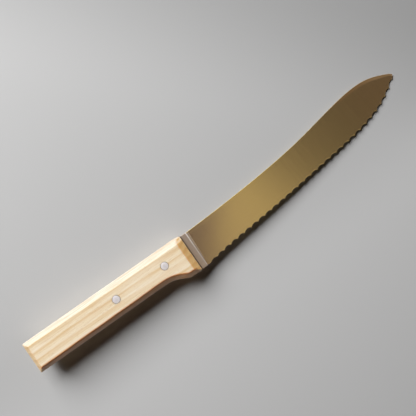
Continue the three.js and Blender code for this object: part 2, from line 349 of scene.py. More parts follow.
SPINE = [(0, 11.12), (10, 11.3), (20, 11.65), (30, 12.09), (40, 12.6), (50, 13.17), (60, 13.82),
         (70, 14.55), (80, 15.38), (90, 16.34), (100, 17.45), (110, 18.76), (120, 20.3),
         (130, 22.05), (140, 23.94), (150, 25.84), (160, 27.6), (165, 28.35), (170, 28.97),
         (175, 29.42), (180, 29.66), (185, 29.6), (190, 29.05), (195, 28.0), (200, 26.4),
         (205, 24.4), (208.6, 22.7), (210.6, 21.4), (211.2, 20.1)]
CUSPS = [(8.6, -18.55), (15.4, -17.72), (22.1, -16.99), (28.9, -16.33), (35.7, -15.72),
         (42.5, -15.13), (49.3, -14.55), (56.2, -13.96), (63.0, -13.35), (69.9, -12.72),
         (76.7, -12.05), (83.6, -11.35), (90.4, -10.61), (97.3, -9.84), (104.1, -9.05),
         (110.9, -8.24), (117.7, -7.43), (124.5, -6.62), (131.3, -5.81), (138.0, -4.99),
         (144.7, -4.15), (151.4, -3.25), (158.0, -2.25), (164.6, -1.1), (171.1, 0.26),
         (177.5, 1.89), (183.9, 3.8), (190.3, 6.25), (196.5, 9.3), (202.7, 13.0), (209.1, 17.5)]
HEEL_Y = -18.95
DEPTH = 1.4
spine_line = spline(SPINE)
spine_line = np.maximum.accumulate(spine_line, axis=0) * [1, 0] + spine_line * [0, 1]
cusp_line = spline(CUSPS)
TANG_TOP = 11.9


def blade_spine(x):
    x = np.asarray(x, float)
    y = np.interp(x, spine_line[:, 0], spine_line[:, 1])
    step = smoothstep(0.6, -2.6, x)
    return np.where(x < 1.0, (1 - step) * (11.12) + step * TANG_TOP, y)


def tang_belly(x):
    return belly_y(x) + 0.45


circles = []
for i in range(len(CUSPS) - 1):
    a, b = np.array(CUSPS[i]), np.array(CUSPS[i + 1])
    c = np.linalg.norm(b - a)
    al = (b - a) / c
    inward = np.array([-al[1], al[0]])
    depth = DEPTH * min(1.0, 0.55 + 0.15 * (i + 1))
    r = (c * c / 4 + depth * depth) / (2 * depth)
    centre = (a + b) / 2 - inward * (r - depth)
    circles.append((centre[0], centre[1], r, a, al, inward, c, depth))
CIRC = np.array([(c[0], c[1], c[2]) for c in circles])

STEPS = 14


def blade_sections():
    """pairs of a spine point and an edge point from the end of the tang to the tip"""
    out = []
    xs = np.concatenate([TANG_X + np.array([0, .05, .2, .5, 1.0, 1.6, 2.4, 3.2, 4.0]),
                         np.arange(TANG_X + 7, -33, 3.0), np.arange(-32, -6, 1.0),
                         [-5.5, -4.5, -3.5, -2.8, -2.2, -1.7, -1.2, -.8, -.5, -.3, -.15, 0, .15, .5, 1, 1.7, 2.5, 3.4, 4.2, 4.7, 4.95, 5.08, 5.16, 5.26,
                          5.4, 5.6, 5.8, 6.0, 6.25, 6.5, 6.75, 6.95, 7.1, 7.3, 7.6, 7.9, 8.25]])
    r = 4.0
    for x in xs:
        d = x - TANG_X
        ease = r - math.sqrt(max(0.0, r * r - max(0.0, r - d) ** 2)) if d < r else 0.0
        s = float(blade_spine(x)) - ease
        if x < -0.9:
            e = float(tang_belly(x)) + ease
        else:
            heel = HEEL_Y + (CUSPS[0][1] - HEEL_Y) * x / CUSPS[0][0]
            t = float(smoothstep(-0.9, 0.4, x))
            e = float(tang_belly(x)) * (1 - t) + heel * t
        out.append(((x, s), (x, e)))
    x0, x1 = CUSPS[0][0], CUSPS[-1][0]
    for i, (cx, cy, r, a, al, inward, c, depth) in enumerate(circles):
        half = math.asin(c / 2 / r)
        ks = range(STEPS) if i < len(circles) - 1 else range(STEPS + 1)
        for k in ks:
            # the points gather towards the teeth
            u = k / STEPS
            u = u + 0.09 * math.sin(2 * math.pi * u) * -1
            t = -half + 2 * half * u
            p = a + al * (c / 2 + r * math.sin(t)) + inward * max(0.0, r * math.cos(t) - (r - depth))
            f = (p[0] - x0) / (x1 - x0)
            sx = p[0] + (SPINE[-1][0] - x1) * f ** 3
            out.append(((sx, float(blade_spine(sx))), tuple(p)))
    return out


def tooth_line(x):
    """the edge before the bites are ground out of it"""
    return np.interp(x, cusp_line[:, 0], cusp_line[:, 1], left=HEEL_Y)


def bite_distance(x, y):
    """how far a point of the blade lies from the nearest bite"""
    best = np.full(x.shape, 1e9)
    for cx, cy, r in CIRC:
        d = np.hypot(x - cx, y - cy)
        best = np.minimum(best, np.where(d < r - 0.02, 50, np.abs(d - r)))
    return best


def blade_heights(P, D, S, upper):
    """height of a face over the middle plane. P plan points, D distance in from the edge, S distance in from the spine"""
    x, y = P[:, 0], P[:, 1]
    f = np.clip(x / TIP_X, 0, 1)
    t_sp = 0.90 - 0.36 * f
    near_edge = 0.50 - 0.10 * f
    lo = np.where(x < CUSPS[0][0], HEEL_Y + (CUSPS[0][1] - HEEL_Y) * np.clip(x, 0, None) / CUSPS[0][0], tooth_line(x))
    u = np.clip((y - lo) / np.maximum(blade_spine(np.minimum(x, SPINE[-1][0])) - lo, 1.0), 0, 1)
    hollow = u - 0.30 * u * (1 - u)
    body = near_edge + (t_sp - near_edge) * hollow
    # a narrow flat is left along the spine near the handle, and runs out by the middle of the blade
    flat = 2.0 * (1 - smoothstep(20, 135, x))
    body = np.where(S < flat, np.maximum(body, t_sp - 0.012 * S), body - 0.01 * flat * smoothstep(0.0, 0.6, S - flat))
    # bevelled back along the hump, towards the tip
    swage = 2.8 * smoothstep(132, 176, x) * (1 - 0.40 * smoothstep(198, 211, x))
    body = np.where(S < swage, body - (swage - S) * (0.012 + 0.130 * smoothstep(146, 192, x)), body)
    # the spine's corner is eased
    body = body - 0.10 * (1 - smoothstep(0.0, 0.14, S))
    # full thickness at the heel, with a run-out that is wide at the spine and narrow at the edge
    yy = np.clip((y + 18.9) / 30.0, 0, 1)
    wedge = 0.35 + 1.65 * yy ** 0.75
    k = np.clip((x - 5.12) / wedge, 0, 1)
    k = 1 - (1 - k) ** 2
    z = 1.0 * (1 - k) + body * k
    z = np.where(x < 5.12, 1.0 - 0.03 * smoothstep(4.85, 5.12, x), z - 0.03 * (1 - smoothstep(0, 0.25, k)))
    z = z - 0.10 * (1 - smoothstep(0.0, 0.14, S)) * (x < 5.12)
    z = z - 0.10 * (1 - smoothstep(0.0, 0.14, D)) * (x < 8.0)
    on_edge = x > 8.55
    if not on_edge.any():
        return z if upper else -z
    rho = np.full(x.shape, 50.0)
    rho[on_edge] = np.minimum(bite_distance(x[on_edge], y[on_edge]), D[on_edge])
    rim = 0.36
    if upper:
        return np.where(on_edge & (rho < rim), z - (rim - rho) * 0.22, z)
    ground = (near_edge - rim * 0.22) - 0.13 - 0.29 * rho
    return np.where(on_edge, np.maximum(-z, ground), -z)


def blade_mesh():
    sec = blade_sections()
    near_s = np.array([0, .05, .1, .16, .3, .55, .9, 1.3, 1.7, 2.0, 2.2, 2.45, 2.7, 2.95, 3.4])
    near_e = np.array([0, .06, .14, .27, .42, .5, .75, 1.05, 1.35, 1.65, 1.95, 2.25, 2.55, 2.9, 3.4, 4.2])
    mid = np.linspace(0, 1, 14)[1:-1]
    loops = []
    for (s, e) in sec:
        s, e = np.array(s), np.array(e)
        total = float(np.linalg.norm(e - s))
        scale = min(1.0, total * 0.44 / 4.2)
        a = near_s * scale
        b = total - near_e * scale
        dist = np.concatenate([a, a[-1] + (b[-1] - a[-1]) * mid, b[::-1]])
        P = s + (e - s) * (dist / total)[:, None]
        D, S = total - dist, dist
        zu = blade_heights(P, D, S, True)
        zl = blade_heights(P, D, S, False)
        up = np.column_stack([P, zu])
        lo = np.column_stack([P, zl])
        m1 = (up[-1] + lo[-1]) / 2
        m2 = (up[0] + lo[0]) / 2
        loops.append(np.concatenate([up, [m1], lo[::-1], [m2]]))
    return loft(loops)


blade = make_object("knife_blade", *blade_mesh())
tidy(blade, 35.0)
for n, (rx, ry, rr) in enumerate(RIVETS):
    v, f = lathe([(0, -3), (SHANK_R + 0.12, -3), (SHANK_R + 0.12, 3), (0, 3)], rx, ry, 64)
    cut(blade, make_object(f"tang_cut_{n}", v, f))
tidy(blade, 24.0)

# ------------------------------------------------------------------ rivets


def round_over(r, z_top, sign, dome=0.05, edge=0.22, n=5):
    """outer half of a flush head from the axis to its wall: a very low dome with an eased rim"""
    pts = []
    for k in range(7):
        rr = (r - edge) * k / 6
        pts.append((rr, z_top - sign * dome * (rr / r) ** 2))
    z0 = z_top - sign * dome * ((r - edge) / r) ** 2
    for k in range(1, n + 1):
        t = math.pi / 2 * k / n
        pts.append((r - edge + edge * math.sin(t), z0 - sign * edge * 0.55 * (1 - math.cos(t))))
    return pts


def female(name, x, y, r):
    T = HALF_T
    bore = PIN_R + 0.03
    head = round_over(r, T, 1)
    prof = head + [(r, T - HEAD_DEEP), (SHANK_R, T - HEAD_DEEP), (SHANK_R, -4.0), (SHANK_R - 0.15, -4.15), (bore, -4.15), (bore, 4.6), (0, 4.6)]
    v, f = lathe(prof, x, y, 96)
    ob = make_object(name, v, f)
    return tidy(ob, 32.0)


def male(name, x, y, r):
    T = HALF_T
    head = round_over(r, -T, -1)
    prof = head + [(r, -T + HEAD_DEEP), (PIN_R, -T + HEAD_DEEP), (PIN_R, 3.8), (PIN_R - 0.2, 4.1), (0, 4.1)]
    v, f = lathe(prof, x, y, 96)
    ob = make_object(name, v, f)
    return tidy(ob, 32.0)


rivets = []
for label, (rx, ry, rr) in zip(("front", "rear"), RIVETS):
    rivets.append((female(f"rivet_{label}_upper", rx, ry, rr), f"rivet_{label}_female"))
    rivets.append((male(f"rivet_{label}_lower", rx, ry, rr), f"rivet_{label}_male"))

# ------------------------------------------------------------------ point attributes for the materials


def set_attribute(ob, name, values):
    a = ob.data.attributes.get(name) or ob.data.attributes.new(name, "FLOAT", "POINT")
    a.data.foreach_set("value", np.asarray(values, np.float32))


def mm_points(ob):
    co = np.zeros(len(ob.data.vertices) * 3, np.float32)
    ob.data.vertices.foreach_get("co", co)
    return co.reshape(-1, 3).astype(float) * 1000.0 - np.array([FX, 0, ZM])


# ------------------------------------------------------------------ node helpers


class Nodes:
    def __init__(self, name):
        self.mat = bpy.data.materials.new(name)
        self.mat.use_nodes = True
        self.t = self.mat.node_tree
        self.bsdf = self.t.nodes["Principled BSDF"]

    def add(self, kind, **kw):
        n = self.t.nodes.new(kind)
        for k, v in kw.items():
            setattr(n, k, v)
        return n

    def link(self, a, b):
        self.t.links.new(a, b)

    def value(self, sock, v):
        sock.default_value = v

    def math(self, op, a, b=None, c=None, clamp=False):
        n = self.add("ShaderNodeMath", operation=op, use_clamp=clamp)
        for i, x in enumerate((a, b, c)):
            if x is None:
                continue
            if isinstance(x, (int, float)):
                n.inputs[i].default_value = x
            else:
                self.link(x, n.inputs[i])
        return n.outputs[0]

    def vec(self, x, y, z):
        n = self.add("ShaderNodeCombineXYZ")
        for i, v in enumerate((x, y, z)):
            if isinstance(v, (int, float)):
                n.inputs[i].default_value = v
            else:
                self.link(v, n.inputs[i])
        return n.outputs[0]

    def noise(self, vector, scale=1.0, detail=2.0, rough=0.5, distort=0.0):
        n = self.add("ShaderNodeTexNoise")
        self.link(vector, n.inputs["Vector"])
        n.inputs["Scale"].default_value = scale
        n.inputs["Detail"].default_value = detail
        n.inputs["Roughness"].default_value = rough
        n.inputs["Distortion"].default_value = distort
        return n.outputs["Fac"]

    def ramp(self, fac, stops, interp="LINEAR"):
        n = self.add("ShaderNodeValToRGB")
        n.color_ramp.interpolation = interp
        el = n.color_ramp.elements
        while len(el) > 1:
            el.remove(el[-1])
        for i, (p, c) in enumerate(stops):
            e = el[0] if i == 0 else el.new(p)
            e.position = p
            c = (c, c, c) if isinstance(c, (int, float)) else c
            e.color = (*c, 1.0)
        if isinstance(fac, (int, float)):
            n.inputs[0].default_value = fac
        else:
            self.link(fac, n.inputs[0])
        return n.outputs[0]

    def mix(self, fac, a, b, mode="MIX"):
        n = self.add("ShaderNodeMix", data_type="RGBA", blend_type=mode)
        n.clamp_factor = True
        for s, v in ((n.inputs[0], fac), (n.inputs[6], a), (n.inputs[7], b)):
            if isinstance(v, (int, float)):
                s.default_value = v
            elif isinstance(v, tuple):
                s.default_value = (*v, 1.0)
            else:
                self.link(v, s)
        return n.outputs[2]

    def position(self):
        """row-frame position in millimetres, measured from the handle's front end"""
        tc = self.add("ShaderNodeTexCoord")
        m = self.add("ShaderNodeVectorMath", operation="MULTIPLY_ADD")
        self.link(tc.outputs["Object"], m.inputs[0])
        m.inputs[1].default_value = (1000, 1000, 1000)
        m.inputs[2].default_value = (-FX, 0, -ZM)
        s = self.add("ShaderNodeSeparateXYZ")
        self.link(m.outputs[0], s.inputs[0])
        return m.outputs[0], s.outputs[0], s.outputs[1], s.outputs[2]

    def normal(self):
        g = self.add("ShaderNodeNewGeometry")
        s = self.add("ShaderNodeSeparateXYZ")
        self.link(g.outputs["Normal"], s.inputs[0])
        return s.outputs[0], s.outputs[1], s.outputs[2]

    def attr(self, name):
        a = self.add("ShaderNodeAttribute")
        a.attribute_name = name
        return a.outputs["Fac"]

    def bump(self, height, strength, distance):
        b = self.add("ShaderNodeBump")
        b.inputs["Strength"].default_value = strength
        b.inputs["Distance"].default_value = distance
        self.link(height, b.inputs["Height"])
        return b.outputs[0]


def lin(r, g, b):
    """sRGB 0-255 to linear"""
    out = []
    for c in (r, g, b):
        c /= 255.0
        out.append(c / 12.92 if c <= 0.04045 else ((c + 0.055) / 1.055) ** 2.4)
    return tuple(out)


# ------------------------------------------------------------------ beech


def beech():
    n = Nodes("beech_varnished")
    p, x, y, z = n.position()
    nx, ny, nz = n.normal()
    # slow sideways wander of the fibres along the handle
    wander = n.noise(n.vec(n.math("MULTIPLY", x, 0.010), n.math("MULTIPLY", y, 0.05), n.math("MULTIPLY", z, 0.05)), 1.0, 1.5, 0.5)
    wander = n.math("MULTIPLY", n.math("SUBTRACT", wander, 0.5), 5.0)
    # growth layers cross the handle at a slant, and run out of it very slowly along its length
    ring = n.math("ADD", n.math("ADD", n.math("MULTIPLY", y, 0.93), n.math("MULTIPLY", z, 0.37)), wander)
    ring = n.math("ADD", ring, n.math("MULTIPLY", x, 0.018))
    fine_w = n.noise(n.vec(n.math("MULTIPLY", x, 0.03), y, z), 0.35, 3.0, 0.55)
    ring = n.math("ADD", ring, n.math("MULTIPLY", fine_w, 3.0))
    phase = n.math("FRACT", n.math("MULTIPLY", ring, 1 / 5.3))
    layer = n.ramp(phase, [(0.0, 0.25), (0.10, 0.0), (0.40, 0.30), (0.62, 0.75), (0.84, 1.0), (1.0, 0.25)], "EASE")
    # fibres, fine and medium, drawn out along the handle
    fib_v = n.vec(n.math("MULTIPLY", x, 0.045), n.math("MULTIPLY", y, 1.5), n.math("MULTIPLY", z, 1.5))
    fibre = n.noise(fib_v, 1.0, 4.0, 0.62, 0.1)
    fine_v = n.vec(n.math("MULTIPLY", x, 0.15), n.math("MULTIPLY", y, 7.0), n.math("MULTIPLY", z, 7.0))
    fine = n.noise(fine_v, 1.0, 3.0, 0.6)
    # short brown ray flecks
    fleck_v = n.vec(n.math("MULTIPLY", x, 0.50), n.math("MULTIPLY", y, 3.0), n.math("MULTIPLY", z, 3.0))
    fleck = n.noise(fleck_v, 1.0, 1.0, 0.4)
    fleck = n.ramp(fleck, [(0.0, 0.0), (0.64, 0.0), (0.73, 1.0), (1.0, 1.0)])
    broad = n.noise(n.vec(n.math("MULTIPLY", x, 0.016), n.math("MULTIPLY", y, 0.22), n.math("MULTIPLY", z, 0.22)), 1.0, 2.0, 0.5)

    base = n.ramp(layer, [(0.0, lin(252, 241, 217)), (0.5, lin(245, 228, 194)), (1.0, lin(233, 205, 160))])
    base = n.mix(n.math("MULTIPLY", n.ramp(fibre, [(0.38, 0.0), (0.66, 1.0)]), 0.42), base, lin(216, 183, 136))
    base = n.mix(n.math("MULTIPLY", n.ramp(fine, [(0.36, 1.0), (0.58, 0.0)]), 0.36), base, lin(216, 172, 112))
    base = n.mix(n.math("MULTIPLY", fleck, 0.36), base, lin(184, 138, 92))
    base = n.mix(n.ramp(broad, [(0.42, 0.0), (0.66, 0.45)]), base, lin(249, 236, 214))
    # the cut ends drink the varnish and show darker, with pores as dots; the front end more than the butt, where it is
    # also painted more orange: a painted warm reflection from the blade
    endness = n.ramp(n.math("ABSOLUTE", nx), [(0.22, 0.0), (0.55, 1.0)])
    # weight of the painted warm reflection on the end grain, full at the front end
    front = n.math("MULTIPLY", n.math("ADD", x, 60.0), 1 / 30.0, clamp=True)
    pores = n.noise(n.vec(n.math("MULTIPLY", x, 0.9), n.math("MULTIPLY", y, 4.5), n.math("MULTIPLY", z, 4.5)), 1.0, 3.0, 0.7)
    pores = n.ramp(pores, [(0.40, 0.0), (0.66, 1.0)])
    end_a = n.mix(front, lin(240, 214, 170), lin(255, 214, 144))
    end_b = n.mix(front, lin(219, 179, 123), lin(240, 182, 104))
    endc = n.mix(n.math("MULTIPLY", layer, 0.62), end_a, end_b)
    endc = n.mix(n.math("MULTIPLY", pores, 0.40), endc, n.mix(front, lin(190, 142, 84), lin(212, 138, 68)))
    base = n.mix(n.math("MULTIPLY", endness, 0.92), base, endc)
    # a darker, redder, smoother line runs along the belly, butt and front chamfer edges, strongest on the belly
    edge_line_mask = n.attr("edge_line")
    edge_line_break = n.noise(n.vec(n.math("MULTIPLY", x, 0.22), n.math("MULTIPLY", y, 0.8), n.math("MULTIPLY", z, 0.8)), 0.9, 3.0, 0.6)
    base = n.mix(n.math("MULTIPLY", edge_line_mask, n.ramp(edge_line_break, [(0.3, 0.55), (0.7, 0.95)])), base, lin(250, 162, 74))
    # painted shade: the belly chamfer and side, away from the key, are painted a darker, warm orange
    belly_shade_mask = n.attr("belly_painted_shade")
    base = n.mix(n.math("MULTIPLY", belly_shade_mask, 0.92), base, lin(180, 100, 46))
    # painted shade: the spine side, which faces the key, is a shade browner than the flat face
    spine_side_shade = n.ramp(n.math("ADD", n.math("MULTIPLY", ny, 0.5), 0.5), [(0.62, 0.0), (0.80, 1.0)])
    spine_side_shade_col = n.mix(n.ramp(fibre, [(0.34, 0.0), (0.66, 1.0)]), lin(227, 219, 207), lin(195, 173, 145))
    base = n.mix(n.math("MULTIPLY", spine_side_shade, 0.85), base, spine_side_shade_col)
    # painted shade: a dark ring in the wood round each rivet head, in the gap
    base = n.mix(n.math("MULTIPLY", n.attr("rivet_gap_shade"), 0.75), base, lin(92, 66, 42))
    n.link(base, n.bsdf.inputs["Base Color"])
    rough = n.math("ADD", n.math("MULTIPLY", fine, 0.18), n.math("MULTIPLY", fibre, 0.16))
    rough = n.math("ADD", rough, 0.30, clamp=True)
    rough = n.math("SUBTRACT", rough, n.math("MULTIPLY", edge_line_mask, 0.08))
    n.link(rough, n.bsdf.inputs["Roughness"])
    h = n.math("ADD", n.math("MULTIPLY", fine, 0.55), n.math("MULTIPLY", fibre, 0.45))
    h = n.math("SUBTRACT", h, n.math("MULTIPLY", fleck, 0.35))
    h = n.math("SUBTRACT", h, n.math("MULTIPLY", n.math("MULTIPLY", pores, endness), 0.4))
    n.link(n.bump(h, 0.35, 0.00022), n.bsdf.inputs["Normal"])
    n.bsdf.inputs["Coat Weight"].default_value = 0.14
    n.bsdf.inputs["Coat Roughness"].default_value = 0.33
    n.bsdf.inputs["Specular IOR Level"].default_value = 0.40
    return n.mat


# ------------------------------------------------------------------ steel


def steel():
    n = Nodes("satin_steel")
    p, x, y, z = n.position()
    nx, ny, nz = n.normal()
    # the belt leaves fine lines across the blade, from spine to edge
    slant = n.math("ADD", x, n.math("MULTIPLY", y, 0.10))
    line_v = n.vec(n.math("MULTIPLY", slant, 5.5), n.math("MULTIPLY", y, 0.09), n.math("MULTIPLY", z, 0.4))
    lines = n.noise(line_v, 1.0, 4.0, 0.68)
    band_v = n.vec(n.math("MULTIPLY", slant, 0.55), n.math("MULTIPLY", y, 0.025), 0.0)
    bands = n.noise(band_v, 1.0, 3.0, 0.55)
    cloud = n.noise(n.vec(n.math("MULTIPLY", x, 0.05), n.math("MULTIPLY", y, 0.07), 0.0), 1.0, 3.0, 0.55)
    spots = n.noise(p, 0.9, 2.0, 0.5)
    spots = n.ramp(spots, [(0.70, 0.0), (0.78, 1.0)])
    # colour along the blade: greyer at the heel, champagne in the middle, browner to the tip; partly the steel's warm
    # tint, partly a painted reflection of the room, brightest in the middle and darker to the tip
    along = n.math("MULTIPLY", x, 1 / 212.0, clamp=True)
    tint_and_reflection = n.ramp(along, [(0.0, (0.70, 0.575, 0.40)), (0.16, (0.72, 0.59, 0.39)), (0.30, (0.76, 0.625, 0.38)),
                          (0.55, (0.68, 0.555, 0.335)), (0.72, (0.61, 0.50, 0.30)), (0.85, (0.60, 0.475, 0.29)), (1.0, (0.59, 0.455, 0.28))])
    wall = n.math("SUBTRACT", 1.0, n.ramp(n.math("ABSOLUTE", nz), [(0.25, 0.0), (0.75, 1.0)]))
    # painted reflection: a mauve cast from the handle, which fades out along a slant
    skew = n.math("SUBTRACT", n.math("MULTIPLY", x, 0.82), n.math("MULTIPLY", y, 0.57))
    mauve_reflection_reach = n.math("ADD", skew, n.math("MULTIPLY", n.math("SUBTRACT", cloud, 0.5), 14.0))
    heel = n.ramp(n.math("MULTIPLY", mauve_reflection_reach, 1 / 40.0, clamp=True), [(0.0, 1.0), (0.14, 0.92), (0.92, 0.0), (1.0, 0.0)], "EASE")
    tint_and_reflection = n.mix(heel, tint_and_reflection, (0.50, 0.395, 0.345))
    # the unground heel is rougher, and tinted grey-mauve, a painted reflection
    tint_and_reflection = n.mix(n.attr("heel_flat"), tint_and_reflection, (0.60, 0.53, 0.53))
    col = n.mix(n.math("MULTIPLY", n.ramp(lines, [(0.35, 0.0), (0.65, 1.0)]), 0.09), tint_and_reflection, (0.86, 0.80, 0.70))
    col = n.mix(n.math("MULTIPLY", n.ramp(bands, [(0.35, 1.0), (0.6, 0.0)]), 0.08), col, (0.42, 0.34, 0.25))
    col = n.mix(n.math("MULTIPLY", cloud, 0.10), col, (0.52, 0.42, 0.36))
    col = n.mix(n.math("MULTIPLY", spots, 0.10), col, (0.30, 0.25, 0.20))
    # left untouched by the grind: a band by the spine, yellower, and the heel
    col = n.mix(n.math("MULTIPLY", n.attr("spine_band"), 0.70), col, (0.78, 0.66, 0.30))
    # painted reflection: the swage bevel is tinted warmer
    col = n.mix(n.math("MULTIPLY", n.attr("swage_reflection"), 0.42), col, (0.86, 0.60, 0.33))
    # the blanked edges are duller than the faces: rougher, and painted darker, painted shade that holds back their
    # glint
    col = n.mix(n.math("MULTIPLY", n.attr("spine_edge"), 0.6), col, (0.40, 0.34, 0.22))
    col = n.mix(n.math("MULTIPLY", wall, 0.75), col, (0.26, 0.22, 0.17))
    # painted highlight: a lighter line along the upper rim of the cutting edge
    rim = n.attr("rim")
    col = n.mix(n.math("MULTIPLY", rim, 0.35), col, (0.90, 0.80, 0.56))
    # painted highlights: a bright line at the grind's end, and a fainter one where its run-out starts
    plunge_glint = n.attr("plunge_highlight")
    col = n.mix(n.math("MULTIPLY", plunge_glint, 0.85), col, (0.86, 0.86, 0.90))
    faint_glint = n.attr("plunge_faint_highlight")
    col = n.mix(n.math("MULTIPLY", faint_glint, 0.65), col, (0.86, 0.80, 0.76))
    # painted shade: a dark line on the steel where it goes into the handle
    joint_shade_mask = n.attr("joint_shade")
    col = n.mix(n.math("MULTIPLY", joint_shade_mask, 0.85), col, (0.05, 0.035, 0.03))
    n.link(col, n.bsdf.inputs["Base Color"])
    n.bsdf.inputs["Metallic"].default_value = 1.0
    r = n.math("ADD", n.math("MULTIPLY", lines, 0.10), n.math("MULTIPLY", bands, 0.06))
    r = n.math("ADD", r, 0.13)
    r = n.math("ADD", r, n.math("MULTIPLY", wall, 0.30))
    r = n.math("ADD", r, n.math("MULTIPLY", n.attr("spine_edge"), 0.32))
    r = n.math("ADD", r, n.math("MULTIPLY", n.attr("heel_flat"), 0.14))
    r = n.math("ADD", r, n.math("MULTIPLY", plunge_glint, 0.30))
    r = n.math("ADD", r, n.math("MULTIPLY", faint_glint, 0.20))
    r = n.math("ADD", r, n.math("MULTIPLY", joint_shade_mask, 0.3), clamp=True)
    n.link(r, n.bsdf.inputs["Roughness"])
    h = n.math("ADD", n.math("MULTIPLY", lines, 0.8), n.math("MULTIPLY", bands, 0.2))
    n.link(n.bump(h, 0.10, 0.00004), n.bsdf.inputs["Normal"])
    return n.mat


def aluminium():
    n = Nodes("satin_aluminium")
    p, x, y, z = n.position()
    # fine turning lines round each head, under straight sanding marks along the handle
    rings = None
    for rx, ry, rr in RIVETS:
        dx, dy = n.math("SUBTRACT", x, rx), n.math("SUBTRACT", y, ry)
        rad = n.math("SQRT", n.math("ADD", n.math("MULTIPLY", dx, dx), n.math("MULTIPLY", dy, dy)))
        rings = rad if rings is None else n.math("MINIMUM", rings, rad)
    turn = n.noise(n.vec(n.math("MULTIPLY", rings, 7.0), 0.0, 0.0), 1.0, 3.0, 0.6)
    sand = n.noise(n.vec(n.math("MULTIPLY", x, 0.5), n.math("MULTIPLY", y, 9.0), z), 1.0, 3.0, 0.65)
    blot = n.noise(p, 0.8, 2.0, 0.5)
    col = n.mix(n.ramp(sand, [(0.3, 0.0), (0.7, 0.5)]), (0.96, 0.98, 1.00), (0.82, 0.84, 0.95))
    col = n.mix(n.math("MULTIPLY", n.ramp(turn, [(0.4, 0.0), (0.6, 1.0)]), 0.18), col, (0.62, 0.63, 0.76))
    col = n.mix(n.math("MULTIPLY", n.ramp(blot, [(0.36, 0.0), (0.64, 1.0)]), 0.40), col, (0.70, 0.70, 0.92))
    # the middle of a head is duller than the ring round it, where the shank was upset
    middle = n.ramp(n.math("MULTIPLY", rings, 1 / 3.0, clamp=True), [(0.0, 1.0), (0.30, 0.85), (0.62, 0.0), (1.0, 0.0)], "EASE")
    col = n.mix(n.math("MULTIPLY", middle, 0.46), col, (0.69, 0.69, 0.81))
    # painted shade: a dark rim at the edge of each head, in the gap round it
    head_rim_shade = n.math("MULTIPLY", n.math("SUBTRACT", rings, HEAD_R - 0.34), 1 / 0.30, clamp=True)
    col = n.mix(n.math("MULTIPLY", head_rim_shade, 0.8), col, (0.20, 0.16, 0.15))
    n.link(col, n.bsdf.inputs["Base Color"])
    n.bsdf.inputs["Metallic"].default_value = 1.0
    r = n.math("ADD", n.math("MULTIPLY", sand, 0.20), 0.40)
    n.link(r, n.bsdf.inputs["Roughness"])
    h = n.math("ADD", n.math("MULTIPLY", sand, 0.6), n.math("MULTIPLY", turn, 0.4))
    n.link(n.bump(h, 0.25, 0.00005), n.bsdf.inputs["Normal"])
    return n.mat


# attributes
q = mm_points(handle)
w_sp, w_be = widths(q[:, 0])
sp, _ = handle_outline(q[:, 0])
d_sp = sp - q[:, 1]
d_be = belly_distance(q[:, 0].copy(), q[:, 1].copy())
d_bt = q[:, 0] + LEN
d_fr = -q[:, 0]
az = np.abs(q[:, 2])
high = az > HALF_T - 1.4
# strength of the darker, redder line along the chamfer edges
edge_line_amount = np.zeros(len(q))
for d, w, amount, out, inn in ((d_be, w_be, 1.0, 1.7, 1.0), (d_bt, 3.9, 0.30, 0.5, 0.22), (d_fr, FRONT_W, 0.75, 0.6, 0.22)):
    edge_line_amount = np.maximum(edge_line_amount, amount * np.clip(1 - np.where(d < w, (w - d) / out, (d - w) / inn), 0, 1) * high)
edge_line_amount = edge_line_amount * np.where(q[:, 2] < 0, 0.45, 1.0)
set_attribute(handle, "edge_line", np.clip(edge_line_amount, 0, 1))
# painted shade on the belly chamfer and side, full on the chamfer, fading down the side
side = 0.50 + 0.50 * smoothstep(w_be - 1.6, w_be - 0.4, d_be) * (d_be < w_be)
facet = 0.16 + 0.44 * smoothstep(HALF_T - 5.6, HALF_T - 3.2, q[:, 2])
set_attribute(handle, "belly_painted_shade", np.where(d_be < w_be - 0.02, side, 0.0) * facet * (d_bt > 3.0) * (d_fr > 2.5))
# painted shade in the gap round the rivet heads
ring = np.zeros(len(q))
for rx, ry, rr in RIVETS:
    d = np.hypot(q[:, 0] - rx, q[:, 1] - ry)
    ring = np.maximum(ring, np.clip(1 - (d - rr - 0.0) / 0.26, 0, 1) * (d > rr - 0.5))
set_attribute(handle, "rivet_gap_shade", ring)

q = mm_points(blade)
edge_poly = np.array([e for s, e in blade_sections()])
edge_poly = edge_poly[edge_poly[:, 0] > 8.3]
# where the painted highlight along the cutting edge's upper rim goes
rim = np.zeros(len(q))
near = q[:, 0] > 8.0
for s in range(0, len(edge_poly), 60):
    e = edge_poly[s:s + 60]
    dd = np.full(len(q), 1e9)
    dd[near] = np.hypot(q[near, 0][:, None] - e[:, 0], q[near, 1][:, None] - e[:, 1]).min(1)
    rim = np.maximum(rim, np.clip(1 - dd / 0.55, 0, 1) * (q[:, 2] > 0))
set_attribute(blade, "rim", rim)
# painted shade at the handle's mouth
set_attribute(blade, "joint_shade", np.clip(1.6 - (q[:, 0] - 0.1) / 0.55, 0, 1) * (q[:, 0] > -3))
up_side = (q[:, 2] > 0).astype(float)
yy = np.clip((q[:, 1] + 18.9) / 30.0, 0, 1)
line_w = 0.20 + 0.30 * yy ** 1.4
# painted highlights along the grind's end and where its run-out starts
set_attribute(blade, "plunge_highlight", np.clip(1.25 * (1 - np.abs(q[:, 0] - 5.0 - 0.35 * line_w) / line_w), 0, 1))
far = 5.45 + 1.62 * yy ** 0.75
set_attribute(blade, "plunge_faint_highlight", np.clip(1 - np.abs(q[:, 0] - far) / 0.32, 0, 1) * smoothstep(0.05, 0.4, yy))
set_attribute(blade, "heel_flat", np.clip((far - q[:, 0]) / 0.4, 0, 1))
s_in = blade_spine(q[:, 0]) - q[:, 1]
set_attribute(blade, "spine_edge", (s_in < 0.2).astype(float))
